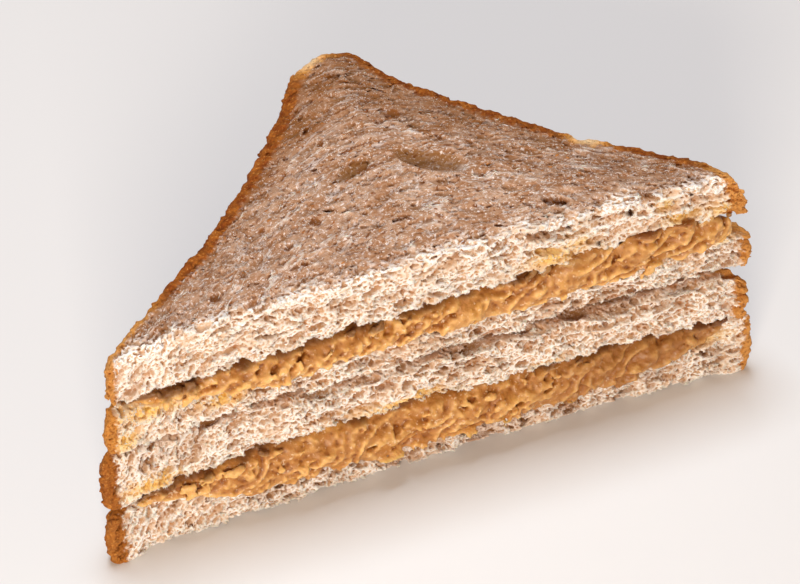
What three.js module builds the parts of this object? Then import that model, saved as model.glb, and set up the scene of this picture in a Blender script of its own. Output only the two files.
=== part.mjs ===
// A tuna club sandwich: four diagonal halves of sandwich loaf and two layers of creamed tuna,
// stacked as two filled triangles, one on the other.
// Millimetres, +Z up. X runs along the diagonal cut, the cut faces -Y, and the corner of the loaf
// points to +Y. The origin is the middle of the sandwich's footprint, on the table.
import * as THREE from 'three';
import { mergeVertices } from 'three/addons/utils/BufferGeometryUtils.js';

// Driving dimensions of the loaf slice, seen from above
const LOAF_SIDE = 106;
const HALF_CUT = LOAF_SIDE * Math.SQRT1_2;
const LEFT_WAIST = 4;
const RIGHT_WAIST = 3.4;
const CORNER_RADIUS = 8;
const LEFT_END_RADIUS = 3;
const CRUST_BULGE = 0.8;

// Swollen shoulders of the two crusts near the loaf's corner, placed by the way from the cut
const LEFT_SHOULDER = { at: 95, width: 6, height: 1.4 };
const RIGHT_SHOULDER = { at: 97, width: 7, height: 3 };

// The middle of the cut, from the origin
const CUT_MIDDLE = { x: 1.1, y: -36.5 };

// Heights of the layers: at the two ends of the cut, at the loaf's corner, and inside the crust rim,
// where the second pair is the height towards the left and the right end of the cut
const TABLE = { left: 0, right: 0, corner: 0, middle: [0, 0] };
const BOTTOM_SLICE_TOP = { left: 14.3, right: 17.6, corner: 14, middle: [11.4, 12] };
const LOWER_MIDDLE_BASE = { left: 15.4, right: 18.8, corner: 14.7, middle: [21, 21] };
const LOWER_MIDDLE_TOP = { left: 32, right: 32.4, corner: 29.3, middle: [32.4, 32] };
const UPPER_MIDDLE_BASE = { left: 32.7, right: 33.2, corner: 29.9, middle: [33, 33.8] };
const UPPER_MIDDLE_TOP = { left: 46.9, right: 44.2, corner: 44.5, middle: [42, 45.2] };
const TOP_SLICE_BASE = { left: 47.7, right: 50.8, corner: 45.2, middle: [48.6, 52.8] };
const TOP_SLICE_TOP = { left: 61.3, right: 61.2, corner: 59.8, middle: [64.2, 64.6] };
const RIM_WIDTH = 30;
const UNDULATION = 0.35;

// Filling
const LAYER_GAP = 0.45;
const FILLING_INSET = 4.6;
const FILLING_END_RADIUS = 7;
const FILLING_WAVER = 1.2;
const FILLING_NOSE = 2.6;
const FILLING_RELIEF = 0.9;

// Crumb relief
const CUT_RELIEF = 0.55;
const FACE_RELIEF = 0.3;

// Large holes in the crumb of the top face: centre, half length, half width, turn in degrees, depth
const HOLES = [
  { x: 9.5, y: 29.8, long: 8, wide: 3.6, turn: -22, depth: 2.4 },
  { x: -9.4, y: 32, long: 4.6, wide: 2.6, turn: 40, depth: 2 },
  { x: 28.5, y: 8.4, long: 4.4, wide: 2, turn: -15, depth: 1.6 },
  { x: 0.5, y: 63.5, long: 3, wide: 1.5, turn: -20, depth: 1.6 },
  { x: 7, y: 46, long: 3, wide: 2, turn: 25, depth: 1.4 },
];

// The four slices, from the table up. setback is how far the middle of the cut lies behind its ends,
// lean how far its lower edge stands in front of its upper one, and flare how far the lower edge of
// its right end stands out
const SLICES = [
  { name: 'bread_bottom', base: TABLE, top: BOTTOM_SLICE_TOP, shift: [-0.6, 0.4], turn: 0.6, size: 1.03,
    endRadius: 4.5, setback: 3, lean: 0.4, flare: 0, columns: 30, rows: 14, seed: 11 },
  { name: 'bread_lower_middle', base: LOWER_MIDDLE_BASE, top: LOWER_MIDDLE_TOP, shift: [-1.65, -0.2],
    turn: -0.8, size: 1.018, endRadius: 8, setback: 0.2, lean: 1, flare: 0.2, columns: 30, rows: 14,
    seed: 23 },
  { name: 'bread_upper_middle', base: UPPER_MIDDLE_BASE, top: UPPER_MIDDLE_TOP, shift: [-0.4, 0.3],
    turn: 0.4, size: 1.012, endRadius: 7, setback: 0.3, lean: 0.3, flare: 0.3, columns: 30, rows: 14,
    seed: 37 },
  { name: 'bread_top', base: TOP_SLICE_BASE, top: TOP_SLICE_TOP, shift: [-0.4, 0], turn: 0, size: 1,
    endRadius: 15, setback: 0, lean: 0.5, flare: 2.4, columns: 40, rows: 18, seed: 53, holes: HOLES },
];

// The two fillings, each with the place along the cut where its left end starts
const FILLINGS = [
  { name: 'tuna_lower', base: BOTTOM_SLICE_TOP, top: LOWER_MIDDLE_BASE, start: -58, seed: 71 },
  { name: 'tuna_upper', base: UPPER_MIDDLE_TOP, top: TOP_SLICE_BASE, start: -70, seed: 89 },
];
const FILLING_COLUMNS = 36;
const FILLING_ROWS = 10;

// Rows of the rim between the two faces of a slice and of a filling
const SLICE_RIM_ROWS = 4;
const FILLING_RIM_ROWS = 5;

const BREAD_MATERIAL = { color: '#e0c8aa', roughness: 0.9, metalness: 0 };
const TUNA_MATERIAL = { color: '#c8904e', roughness: 0.45, metalness: 0 };

const clamp = (v, low, high) => Math.min(Math.max(v, low), high);
const mix = (a, b, t) => a + (b - a) * t;
const smooth = (t) => {
  const c = clamp(t, 0, 1);
  return c * c * (3 - 2 * c);
};
const bell = (v, width) => Math.exp(-((v / width) ** 2));

// A repeatable number from 0 to 1 for a lattice point
function lattice(i, j, k, seed) {
  const n = Math.sin(i * 127.1 + j * 311.7 + k * 74.7 + seed * 53.3) * 43758.5453;
  return n - Math.floor(n);
}

// Smooth noise from -1 to 1
function noise(x, y, z, seed) {
  const [i, j, k] = [Math.floor(x), Math.floor(y), Math.floor(z)];
  const [u, v, w] = [smooth(x - i), smooth(y - j), smooth(z - k)];
  const along = (dj, dk) => mix(lattice(i, j + dj, k + dk, seed), lattice(i + 1, j + dj, k + dk, seed), u);
  const low = mix(along(0, 0), along(1, 0), v);
  const high = mix(along(0, 1), along(1, 1), v);
  return 2 * mix(low, high, w) - 1;
}

// The way along the two crusts: p from the left end to the corner, q from the corner to the right end
const crustAxes = (x, y) => [(x + HALF_CUT + y) * Math.SQRT1_2, (x + HALF_CUT - y) * Math.SQRT1_2];

// How far a crust runs inside the straight side of the loaf, by the way from its end of the cut
function hollow(way, waist, shoulder) {
  const arch = Math.sin((Math.PI * clamp(way, 0, LOAF_SIDE)) / LOAF_SIDE) ** 1.5;
  return waist * arch - shoulder.height * bell(way - shoulder.at, shoulder.width);
}
const leftHollow = (p) => hollow(p, LEFT_WAIST, LEFT_SHOULDER);
const rightHollow = (q) => hollow(LOAF_SIDE - q, RIGHT_WAIST, RIGHT_SHOULDER);

// Distance outside a corner of two straight sides, rounded
function roundedCorner(a, b, radius) {
  const outside = Math.hypot(Math.max(a + radius, 0), Math.max(b + radius, 0));
  return outside + Math.min(Math.max(a + radius, b + radius), 0) - radius;
}

// Distance outside the crust of the whole square slice, negative inside
function outsideCrust(x, y, endRadius) {
  const [p, q] = crustAxes(x, y);
  const left = leftHollow(p) - q;
  const right = p - LOAF_SIDE + rightHollow(q);
  return Math.max(
    roundedCorner(left, right, CORNER_RADIUS),
    roundedCorner(left, -p, LEFT_END_RADIUS),
    roundedCorner(right, q - LOAF_SIDE, endRadius),
  );
}

// The furthest point from a start, in one direction, that still lies inside
function edgeAlong(inside, start, step) {
  let reach = 0;
  for (let size = HALF_CUT; size > 0.001; size /= 2) {
    const next = reach + size;
    if (inside(start[0] + step[0] * next, start[1] + step[1] * next)) reach = next;
  }
  return reach;
}

// A plan as rows parallel to the cut, each a function of the share across, closing at the corner
function planRows(inside, rows, front) {
  const tipX = 1.2;
  const tip = front + edgeAlong(inside, [tipX, front], [0, 1]);
  return Array.from({ length: rows + 1 }, (_, j) => {
    const y = mix(front, tip, 1 - (1 - j / rows) ** 1.5);
    const middle = tipX * (y / tip);
    const left = edgeAlong(inside, [middle, y], [-1, 0]);
    const right = edgeAlong(inside, [middle, y], [1, 0]);
    return (share) => new THREE.Vector2(middle + mix(-left, right, share), y);
  });
}

// Height of a layer boundary above the table
function height(level, x, y) {
  const [p, q] = crustAxes(x, y);
  const corner = clamp(y / HALF_CUT, 0, 1);
  const across = clamp(x / HALF_CUT, -1, 1);
  const rim = level.corner * corner
    + level.left * (1 - corner - across * (1 - corner)) / 2
    + level.right * (1 - corner + across * (1 - corner)) / 2;
  const inward = Math.min(q - leftHollow(p), LOAF_SIDE - p - rightHollow(q));
  const middle = mix(...level.middle, (across + 1) / 2) + UNDULATION * noise(x / 17, y / 17, 0, 5);
  const share = clamp(inward / RIM_WIDTH, 0, 1);
  return level === TABLE ? 0 : mix(rim, middle, share * (2 - share));
}

// Gathers triangles and leaves out those that collapse at a tip
class Shell {
  points = [];

  triangle(a, b, c) {
    if (a.distanceTo(b) > 1e-3 && b.distanceTo(c) > 1e-3 && c.distanceTo(a) > 1e-3) {
      this.points.push(a, b, c);
    }
  }

  quad(a, b, c, d) {
    this.triangle(a, b, c);
    this.triangle(a, c, d);
  }

  geometry() {
    return mergeVertices(new THREE.BufferGeometry().setFromPoints(this.points), 1e-4);
  }
}

// The loop round a grid of plan points, anticlockwise from the left end of the cut
function loopOf(grid) {
  const rows = grid.length - 1;
  const columns = grid[0].length - 1;
  const loop = grid[0].map((_, i) => [i, 0]);
  for (let j = 1; j <= rows; j += 1) loop.push([columns, j]);
  for (let j = rows - 1; j > 0; j -= 1) loop.push([0, j]);
  return loop;
}

// A closed body between two faces over one plan, with rim rows bulged by push(place, share)
function slab({ grid, low, high, push, rimRows }) {
  const shell = new Shell();
  const loop = loopOf(grid);
  const at = ([i, j]) => grid[j][i];
  const rim = loop.map((place, n) => {
    const here = at(place);
    const before = at(loop[(n + loop.length - 1) % loop.length]);
    const after = at(loop[(n + 1) % loop.length]);
    const outward = new THREE.Vector2(after.y - before.y, before.x - after.x).normalize();
    const [bottom, top] = [low(here.x, here.y), high(here.x, here.y)];
    return Array.from({ length: rimRows + 1 }, (_, r) => {
      const share = r / rimRows;
      const z = mix(bottom, top, share);
      const out = push(place, share, here, z);
      return new THREE.Vector3(here.x + outward.x * out, here.y + outward.y * out, z);
    });
  });
  const onRim = new Map(loop.map(([i, j], n) => [`${i},${j}`, rim[n]]));
  const tip = rim[grid[0].length - 1 + grid.length - 1];
  const face = (level, rimIndex) => grid.map((row, j) => row.map((point, i) => {
    if (j === grid.length - 1) return tip[rimIndex];
    const edge = onRim.get(`${i},${j}`);
    return edge ? edge[rimIndex] : new THREE.Vector3(point.x, point.y, level(point.x, point.y));
  }));
  const [under, over] = [face(low, 0), face(high, rimRows)];
  for (let j = 0; j < grid.length - 1; j += 1) {
    for (let i = 0; i < grid[0].length - 1; i += 1) {
      shell.quad(over[j][i], over[j][i + 1], over[j + 1][i + 1], over[j + 1][i]);
      shell.quad(under[j][i], under[j + 1][i], under[j + 1][i + 1], under[j][i + 1]);
    }
  }
  rim.forEach((column, n) => {
    const next = rim[(n + 1) % rim.length];
    for (let r = 0; r < rimRows; r += 1) shell.quad(column[r], next[r], next[r + 1], column[r + 1]);
  });
  return shell.geometry();
}

// Turns and shifts a plan from the middle of its cut
function placed(grid, { turn = 0, size = 1, shift = [0, 0] }) {
  const angle = THREE.MathUtils.degToRad(turn);
  const centre = new THREE.Vector2();
  return grid.map((row) => row.map((point) => point.clone().multiplyScalar(size)
    .rotateAround(centre, angle).add(new THREE.Vector2(...shift))));
}

// How deep the crumb of a face lies at a point: its named holes and fine pitting
function pitting(x, y, slice) {
  const holes = (slice.holes ?? []).map((hole) => {
    const from = new THREE.Vector2(x - hole.x, y - hole.y);
    from.rotateAround(new THREE.Vector2(), -THREE.MathUtils.degToRad(hole.turn));
    return hole.depth * bell(Math.hypot(from.x / hole.long, from.y / hole.wide), 0.8);
  });
  const fine = FACE_RELIEF * (1 + noise(x / 2.3, y / 2.3, 0, slice.seed));
  return Math.max(...holes, 0) + fine;
}

// One half slice of loaf: a bulged crust on two sides, a rough cut on the third
function bread(slice) {
  const inside = (x, y) => outsideCrust(x, y, slice.endRadius) < 0;
  const rows = planRows(inside, slice.rows, 0);
  const shares = Array.from({ length: slice.columns + 1 }, (_, i) => i / slice.columns);
  const grid = placed(rows.map((row) => shares.map(row)), slice);
  const showsItsFace = Boolean(slice.holes);
  const bulge = (share, x) => CRUST_BULGE * Math.sin(Math.PI * share)
    + slice.flare * (1 - share) * smooth((x - 45) / 20);
  const push = ([, j], share, here, z) => {
    if (j > 0) return bulge(share, here.x) + 0.25 * noise(here.x / 3, here.y / 3, z / 3, slice.seed);
    const across = clamp(here.x / HALF_CUT, -1, 1);
    const rounding = 0.7 * Math.abs(2 * share - 1) ** 4;
    const rough = CUT_RELIEF * noise(here.x / 3.1, 0, z / 2.6, slice.seed);
    const flat = slice.setback * (1 - across ** 2) + slice.lean * (share - 0.5) + rounding;
    const end = Math.abs(across) ** 8;
    return (rough - flat) * (1 - end) + bulge(share, here.x) * end;
  };
  return slab({
    grid,
    low: (x, y) => height(slice.base, x, y),
    high: (x, y) => height(slice.top, x, y) - (showsItsFace ? pitting(x, y, slice) : 0),
    push,
    rimRows: SLICE_RIM_ROWS,
  });
}

// One layer of filling: it stops short of the crusts and its nose bulges out of the cut
function filling(layer) {
  const waver = (x, y) => FILLING_WAVER * noise(x / 9, y / 9, 0, layer.seed);
  const inside = (x, y) => outsideCrust(x, y, FILLING_END_RADIUS) < -FILLING_INSET - waver(x, y)
    && x + 0.8 * y > layer.start + waver(x, y);
  const rows = planRows(inside, FILLING_ROWS, 0);
  const shares = Array.from({ length: FILLING_COLUMNS + 1 }, (_, i) => i / FILLING_COLUMNS);
  const grid = rows.map((row) => shares.map(row));
  const push = ([, j], share, here, z) => {
    const swell = Math.sin(Math.PI * share);
    if (j > 0) return swell;
    const end = 1 - Math.abs(here.x / HALF_CUT) ** 6;
    const nose = FILLING_NOSE * mix(0.75, -0.35, smooth(share * 1.1 - 0.1)) + 0.9 * swell;
    const lumps = FILLING_RELIEF * noise(here.x / 5.5 + z / 7, z / 3.2, 0, layer.seed) * swell;
    return (nose + lumps) * end;
  };
  return slab({
    grid,
    low: (x, y) => height(layer.base, x, y) + LAYER_GAP,
    high: (x, y) => height(layer.top, x, y) - LAYER_GAP,
    push,
    rimRows: FILLING_RIM_ROWS,
  });
}

function named(name, geometry, look) {
  const mesh = new THREE.Mesh(geometry, new THREE.MeshStandardMaterial(look));
  mesh.name = name;
  return mesh;
}

const sandwich = new THREE.Group();
SLICES.forEach((slice) => sandwich.add(named(slice.name, bread(slice), BREAD_MATERIAL)));
FILLINGS.forEach((layer) => sandwich.add(named(layer.name, filling(layer), TUNA_MATERIAL)));
sandwich.position.set(CUT_MIDDLE.x, CUT_MIDDLE.y, 0);

export default sandwich;
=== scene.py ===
"""The looks of a tuna club sandwich: torn crumb, crust, creamed tuna, and the table it stands on.

Lengths in this file are millimetres, measured from the middle of the cut on the table, until a
mesh is made. X runs along the cut, -Y faces out of it, and the corner of the loaf points to +Y.
"""

import math

import bpy
import numpy as np
import openvdb
from mathutils import Matrix, Vector


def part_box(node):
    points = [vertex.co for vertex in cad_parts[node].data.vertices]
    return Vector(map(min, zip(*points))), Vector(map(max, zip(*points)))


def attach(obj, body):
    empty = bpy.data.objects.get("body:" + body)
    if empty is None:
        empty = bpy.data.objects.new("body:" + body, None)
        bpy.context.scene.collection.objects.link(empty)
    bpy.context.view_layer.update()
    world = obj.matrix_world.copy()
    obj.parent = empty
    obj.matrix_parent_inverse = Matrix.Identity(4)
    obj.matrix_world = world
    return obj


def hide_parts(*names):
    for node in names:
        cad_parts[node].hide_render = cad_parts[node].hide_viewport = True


bl_info = {
    "name": "Tuna club sandwich",
    "version": (1, 0, 0),
    "blender": (4, 5, 0),
    "location": "3D View > Sidebar > Sandwich",
    "description": "Makes the bread, the creamed tuna and the loose crumbs of a stacked sandwich",
    "category": "Add Mesh",
}

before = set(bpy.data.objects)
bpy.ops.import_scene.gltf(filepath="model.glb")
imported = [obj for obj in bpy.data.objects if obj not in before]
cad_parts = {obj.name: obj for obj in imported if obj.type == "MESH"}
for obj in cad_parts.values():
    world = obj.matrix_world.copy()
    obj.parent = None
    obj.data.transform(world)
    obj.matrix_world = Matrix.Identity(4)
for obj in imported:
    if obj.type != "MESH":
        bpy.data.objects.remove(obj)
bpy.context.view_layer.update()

MILLIMETRE = 0.001
MOST_SLICE_TRIANGLES = 195000
MOST_PASTE_TRIANGLES = 150000

# The loaf slice seen from above
LOAF_SIDE = 106.0
HALF_CUT = LOAF_SIDE * math.sqrt(0.5)
CORNER_RADIUS = 8.0
LEFT_END_RADIUS = 3.0
CRUST_BULGE = 0.8
LEFT_CRUST = dict(waist=4.0, shoulder_at=95.0, shoulder_width=6.0, shoulder_height=1.4)
RIGHT_CRUST = dict(waist=3.4, shoulder_at=97.0, shoulder_width=7.0, shoulder_height=3.0)
CUT_MIDDLE = np.array((1.1, -36.5, 0.0))

# A torn notch in the right-hand crust of the top slice, by the way from the cut
NOTCH = dict(at=41.0, width=1.6, depth=1.5)

# How far the two ends of every cut stand in front of its middle
BLUNT_END = 1.2

# How far the fillings stay behind the crusts, and the radius of their right ends seen from above
FILLING_INSET = 4.4
FILLING_RADIUS = 7.0

# Heights of the layers: at the cut's left and right end, at the loaf's corner, and inside the crust
# rim on the left and on the right
TABLE = (0.0, 0.0, 0.0, 0.0, 0.0)
BOTTOM_SLICE_TOP = (14.3, 17.6, 14.0, 11.4, 12.0)
LOWER_MIDDLE_BASE = (15.4, 18.8, 14.7, 21.0, 21.0)
LOWER_MIDDLE_TOP = (32.0, 32.4, 29.3, 32.4, 32.0)
UPPER_MIDDLE_BASE = (32.7, 33.2, 29.9, 33.0, 33.8)
UPPER_MIDDLE_TOP = (46.9, 44.2, 44.5, 42.0, 45.2)
TOP_SLICE_BASE = (47.7, 50.8, 45.2, 48.6, 52.8)
TOP_SLICE_TOP = (61.3, 61.2, 59.8, 64.2, 64.6)
RIM_WIDTH = 30.0

# Large holes in the top face: centre, half length, half width, turn in degrees, depth
NAMED_HOLES = (
    (9.3, 29.3, 8.5, 3.8, -38.0, 2.6), (-7.7, 32.4, 5.7, 2.1, 23.0, 2.0),
    (-5.4, 32.5, 1.3, 1.4, 47.0, 2.4), (28.9, 7.2, 3.2, 1.5, -29.0, 1.8),
    (0.0, 63.5, 1.7, 1.0, -22.0, 1.8), (3.8, 59.6, 1.8, 0.9, -50.0, 1.8),
    (7.1, 55.8, 2.8, 0.4, -46.0, 1.2), (-11.8, 49.6, 1.6, 0.6, 46.0, 1.8),
    (-11.2, 54.4, 1.2, 0.5, 47.0, 1.5), (-10.8, 43.5, 1.3, 0.8, 47.0, 1.0),
    (-15.1, 36.3, 0.8, 0.7, 18.0, 1.2), (-19.0, 43.0, 0.8, 0.7, 18.0, 1.3),
    (-5.1, 61.4, 1.1, 0.5, 30.0, 1.0), (-11.2, 57.2, 0.8, 0.4, 39.0, 1.2),
    (3.7, 52.5, 0.8, 0.9, -22.0, 1.3), (7.1, 46.4, 2.0, 2.0, -36.0, 1.2),
    (13.6, 35.6, 1.1, 0.6, -56.0, 1.4), (-47.9, 8.1, 1.5, 1.3, 47.0, 1.5),
    (-41.8, 2.6, 2.3, 1.1, -1.0, 1.0), (-20.7, 20.7, 1.5, 1.5, -29.0, 1.5),
    (-17.1, 22.5, 1.3, 0.6, -29.0, 1.5), (-3.5, 14.3, 2.2, 0.8, 3.0, 1.2),
    (-27.4, 9.4, 1.0, 0.8, -36.0, 1.2), (-15.0, 16.2, 1.2, 0.2, 65.0, 1.0),
    (-11.0, 21.3, 2.7, 1.8, 6.0, 0.8), (-19.9, 15.9, 4.5, 1.6, 21.0, 0.7),
    (-15.5, 25.1, 2.2, 1.2, 6.0, 0.7), (-10.3, 8.6, 1.0, 0.8, 28.0, 0.8),
    (-21.2, 38.2, 0.9, 0.5, 47.0, 1.0), (-31.8, 23.4, 0.9, 0.7, 39.0, 1.0),
    (-38.4, 15.8, 1.0, 0.7, 34.0, 0.8),
)
# Holes longer than this are shallow bowls with soft rims, and as pale as the face; smaller ones get
# painted shade if they are at least this deep
WIDE_HOLE = 4.0
DARK_HOLE = 0.9

# Cells of the crumb opened on the top face and then on every cut, the largest first: how many,
# smallest and largest half width, the same of their depth, the same of their length by their width,
# and how far back on the face they may lie
FACE_CELLS = (
    (1100, (0.4, 1.1), (0.3, 0.75), (1.4, 3.0), HALF_CUT),
    (1500, (0.2, 0.45), (0.4, 0.9), (1.0, 2.4), HALF_CUT),
    (3500, (0.16, 0.28), (0.2, 0.35), (1.0, 3.0), HALF_CUT),
    (1000, (0.2, 0.5), (0.3, 0.6), (1.0, 1.8), 5.0),
)
LARGE_CUT_CELLS = (230, 0.5, (0.9, 2.0), (1.8, 4.2))
SMALL_CUT_CELLS = (
    (450, (0.28, 0.55), (0.5, 1.0), (1.0, 2.4)),
    (4000, (0.17, 0.3), (0.25, 0.5), (0.8, 2.0)),
)

# The grain of the top face turns with the left crust, the right crust and the loaf's own middle:
# the direction of each in degrees, how far into the slice the crusts reach, and the middle's pull
GRAIN_TURNS = (45.0, -40.0, 20.0)
GRAIN_REACH = (16.0, 26.0)
GRAIN_REST = 0.3

# Roughness of the surfaces: strength, wavelength (one, or one for each axis) and seed of each wave
SIDE_WAVES = ((0.4, 3.0, 0), (0.55, 1.3, 1), (0.35, 0.65, 9))
FACE_WAVES = ((0.3, 4.5, 2), (0.2, 1.7, 3), (0.1, 0.62, 4))
CUT_WAVES = ((0.8, (6.0, 3.0, 2.6), 5), (0.45, (2.6, 2.0, 1.5), 6), (0.24, (1.1, 1.0, 0.8), 7),
             (0.28, 0.56, 8))
PASTE_LUMPS = ((0.7, (9.0, 5.0, 5.0), 1), (0.5, (4.2, 2.8, 2.4), 2))
PASTE_WAVES = ((0.45, (2.8, 2.2, 2.0), 3), (0.32, 1.1, 4), (0.2, 0.6, 6))

# The slices from the table up. setback is how far the middle of the cut lies behind its ends, lean
# how far its lower edge stands in front of its upper one, flare how far the lower edge of its
# right end stands out, lift and drop how much of its lower and upper edge was torn away, heel how
# deep the crust is at its left end, and pale how much lighter the crust at that end is coloured
SLICES = (
    dict(node="bread_bottom", base=TABLE, top=BOTTOM_SLICE_TOP, shift=(-0.6, 0.4), turn=0.6,
         size=1.03, end_radius=4.5, setback=1.7, lean=0.4, flare=0.0, lift=1.3, drop=0.0, heel=2.6,
         pale=0.15, seed=11),
    dict(node="bread_lower_middle", base=LOWER_MIDDLE_BASE, top=LOWER_MIDDLE_TOP,
         shift=(-1.65, -0.2), turn=-0.8, size=1.018, end_radius=8.0, setback=0.2, lean=1.0,
         flare=0.2, lift=0.8, drop=1.0, heel=2.0, pale=0.1, seed=23),
    dict(node="bread_upper_middle", base=UPPER_MIDDLE_BASE, top=UPPER_MIDDLE_TOP,
         shift=(-0.4, 0.3), turn=0.4, size=1.012, end_radius=7.0, setback=0.3, lean=0.3,
         flare=0.3, lift=1.7, drop=0.0, heel=1.2, pale=0.35, seed=37),
    dict(node="bread_top", base=TOP_SLICE_BASE, top=TOP_SLICE_TOP, shift=(-0.4, 0.0), turn=0.0,
         size=1.0, end_radius=15.0, setback=0.0, lean=0.5, flare=2.4, lift=0.5, drop=0.0, heel=1.0,
         pale=0.45, seed=53),
)

# The fillings. start is the place along the cut where the left end starts, end_inset how far that
# end stays behind the crust, the number after it how much painted shade darkens the right half, and
# rise and hang how far the paste stands up in front of the slice above and hangs down in front of
# the one below, at places along the cut
FILLINGS = (
    dict(node="tuna_lower", base=BOTTOM_SLICE_TOP, top=LOWER_MIDDLE_BASE, start=-70.0,
         end_inset=2.6, brown=0.95, seed=71, rise=((-60, 0), (60, 0)),
         hang=((-64, 0), (-48, 1.6), (-30, 2.5), (-7, 4.6), (16, 3.2), (40, 2.9), (55, 1.2),
               (64, 0))),
    dict(node="tuna_upper", base=UPPER_MIDDLE_TOP, top=TOP_SLICE_BASE, start=-74.0,
         end_inset=1.6, brown=0.15, seed=89,
         rise=((18, 0), (34, 2.0), (50, 2.6), (62, 2.2), (69, 0)),
         hang=((-70, 0), (-50, 1.0), (-20, 0.7), (5, 1.2), (30, 0.6), (52, 1.2), (66, 0))),
)
HIGHEST_RISE = 2.6

# Where the crust of the top slice stayed pale: place and reach
PALE_PLACES = ((-3.0, 73.0, 60.0, 5.2), (44.5, 25.5, 62.0, 4.6))

# A torn flap of crumb under the upper middle slice, as a spot to press
FLAP = (60.3, -0.9, 38.0, 2.6, 1.0, 1.1, 0.0, -0.6)

# Dark specks of bran on the cut: x, z and reach of each
SPECKS = {"bread_top": ((58.1, 60.8, 0.45), (43.5, 61.2, 0.6), (36.4, 54.9, 0.4),
                        (29.6, 61.0, 0.4))}

# Yellow stains on the cut: x, z, half length and half height of each
STAINS = {
    "bread_top": ((26.0, 54.5, 7.0, 2.2), (31.5, 57.0, 3.0, 1.6), (52.0, 60.0, 2.0, 1.6),
                  (56.5, 55.0, 4.0, 1.8), (66.5, 54.0, 4.0, 2.5)),
    "bread_upper_middle": ((-50.0, 40.0, 5.0, 1.4), (-66.0, 44.0, 10.0, 2.4),
                           (-72.0, 37.0, 3.0, 3.0), (64.0, 45.0, 6.0, 1.8)),
    "bread_lower_middle": ((-8.0, 22.5, 10.0, 1.5), (25.0, 21.5, 4.0, 1.2),
                           (-66.0, 20.0, 7.0, 2.0)),
    "bread_bottom": ((60.0, 13.0, 9.0, 2.0),),
}

# The camera, fitted to the ends of the cut, the corner and the heights at the ends
CAMERA = dict(azimuth=-21.88, elevation=45.72, distance=887.9, lens=180.0,
              target=(2.26, 29.64, 25.0))

# The lights, in metres and degrees, and the glow of the room
KEY_LIGHT = dict(azimuth=-165.0, elevation=83.0, distance=1.2, size=0.48, colour=(0.84, 0.93, 1.0))
FILL_LIGHT = dict(azimuth=-26.0, elevation=22.0, distance=0.8, size=0.25,
                  colour=(1.0, 0.885, 0.75))
LIT_POINT = (0.0, 0.0, 0.03)
ROOM_COLOUR = (1.0, 0.55, 0.28, 1.0)
ROOM_STRENGTH = 0.26
TABLE_REACH = 3.0


def length_setting(name, about, default, low, high):
    return bpy.props.FloatProperty(name=name, description=about, default=default, min=low,
                                   max=high, subtype="DISTANCE", unit="LENGTH")


def colour_setting(name, about, default):
    return bpy.props.FloatVectorProperty(name=name, description=about, default=default, size=3,
                                         min=0, max=1, subtype="COLOR")


def number_setting(name, about, default):
    return bpy.props.IntProperty(name=name, description=about, default=default, min=0)


def power_setting(name, about, default):
    return bpy.props.FloatProperty(name=name, description=about, default=default, unit="POWER")


class BreadSettings(bpy.types.PropertyGroup):
    """Sizes and colours of the bread."""
    pitch: length_setting(
        "Detail", "Distance between sample points of the crumb", 0.00027, 0.0002, 0.002)
    hole_size: length_setting(
        "Cell size", "Half height of the largest cells in the torn crumb", 0.0012, 0.0005, 0.003)
    crumb_colour: colour_setting("Crumb", "Colour of the torn crumb", (0.71, 0.52, 0.37))
    face_colour: colour_setting(
        "Pressed face", "Colour of the smooth faces of a slice", (0.37, 0.185, 0.092))
    crust_colour: colour_setting("Crust", "Main colour of the crust", (0.22, 0.048, 0.006))
    strands: number_setting("Strands", "Thin raised walls of crumb on the top face", 500)
    tufts: number_setting("Tufts", "Torn tufts of crumb on the cut of each slice", 3600)
    grains: number_setting("Grains", "Small grains of crumb on the top face", 6000)
    bran: number_setting("Bran", "Flakes of bran on the top face", 240)
    seed: number_setting("Seed", "Number that fixes every random draw in the bread", 5)


class TunaSettings(bpy.types.PropertyGroup):
    """Sizes and colours of the filling."""
    pitch: length_setting(
        "Detail", "Distance between sample points of the filling", 0.0003, 0.0002, 0.002)
    flake_length: length_setting(
        "Flake length", "Length of the longest flakes of tuna at the cut", 0.008, 0.002, 0.02)
    colour: colour_setting("Tuna", "Colour of the creamed tuna", (0.5, 0.22, 0.05))
    seed: number_setting("Seed", "Number that fixes every random draw in the filling", 9)


class StageSettings(bpy.types.PropertyGroup):
    """The table, the lights and the camera."""
    table_colour: colour_setting("Table", "Colour of the plain table", (0.765, 0.78, 0.8))
    key_power: power_setting("Key light", "Power of the soft light above", 11.9)
    fill_power: power_setting("Fill light", "Power of the soft light in front", 4.8)


def smooth(t):
    """An even step from 0 to 1."""
    t = np.clip(t, 0.0, 1.0)
    return t * t * (3.0 - 2.0 * t)


def mix(a, b, t):
    """From a to b as t goes from 0 to 1."""
    return a + (b - a) * t


def turned(x, y, angle):
    """The ways along and across a direction, given in radians."""
    c, s = math.cos(angle), math.sin(angle)
    return x * c + y * s, y * c - x * s


def profile_at(profile, x):
    """A height that is given at places along the cut."""
    return np.interp(x, *zip(*profile))


def blunt_ends(x):
    """How near a place along the cut is to either end, from 0 to 1."""
    return smooth((np.abs(x) - 66.0) / 8.0)


def left_heel(x):
    """How far a place along the cut belongs to the left end's crust, from 0 to 1."""
    return smooth((-54.0 - x) / 12.0)


def crust_axes(x, y):
    """The way along the two crusts: from the left end to the corner, and on to the right end."""
    return (x + HALF_CUT + y) * math.sqrt(0.5), (x + HALF_CUT - y) * math.sqrt(0.5)


def hollow(way, crust):
    """How far a crust runs inside the straight side of the loaf."""
    arch = np.maximum(np.sin(np.pi * np.clip(way / LOAF_SIDE, 0.0, 1.0)), 0.0) ** 1.5
    shoulder = np.exp(-((way - crust["shoulder_at"]) / crust["shoulder_width"]) ** 2)
    return crust["waist"] * arch - crust["shoulder_height"] * shoulder


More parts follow.
